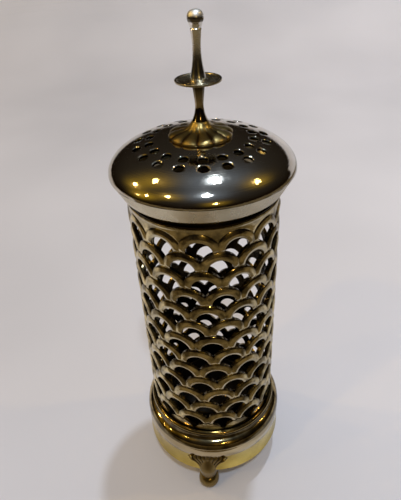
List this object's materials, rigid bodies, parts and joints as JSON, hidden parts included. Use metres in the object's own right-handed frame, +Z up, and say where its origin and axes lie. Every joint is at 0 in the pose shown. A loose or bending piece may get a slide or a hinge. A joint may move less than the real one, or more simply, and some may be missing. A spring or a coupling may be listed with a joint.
{
  "type": "candle lantern",
  "caption": "Free-standing metal candle lantern: pierced fish-scale sleeve on a moulded base with ball feet, vented dome lid that lifts off by a turned finial, and a loose tealight cup.",
  "frame": {"origin": "on the floor below the lantern's axis", "axes": "+Z up along the axis, towards the finial; -Y towards the foot at the front of the picture"},
  "size_m": [0.0772, 0.0788, 0.2386],
  "materials": {
    "plate": "polished silver plate",
    "lattice": "polished silver plate, tarnished in the grooves",
    "gilt": "worn warm plate over brass",
    "cast_feet": "worn warm plate over brass",
    "tin": "pressed sheet darkened by smoke",
    "steel": "plain"
  },
  "bodies": {
    "body": {"foot_front": "cast_feet", "foot_right": "cast_feet", "foot_left": "cast_feet", "foot_screws": "steel", "plinth_ring": "plate", "base_moulding": "plate", "floor_plate": "plate", "base_bead": "plate", "scale_sleeve": "lattice", "neck_ring": "plate"},
    "lid": {"lid_dome": "plate", "lid_collar": "plate", "lid_bezel": "plate", "finial_rosette": "gilt", "finial_lower_stem": "plate", "finial_disc": "plate", "finial_spindle": "plate", "finial_stud": "steel", "finial_washer": "steel", "finial_nut": "steel"},
    "cup": {"candle_cup": "tin"}
  },
  "joints": [
    {"name": "lid_lift", "type": "slide", "parent": "body", "child": "lid", "axis": [0, 0, 1], "range_m": [0, 0.06]},
    {"name": "cup_lift", "type": "slide", "parent": "body", "child": "cup", "axis": [0, 0, 1], "range_m": [0, 0.1]}
  ]
}
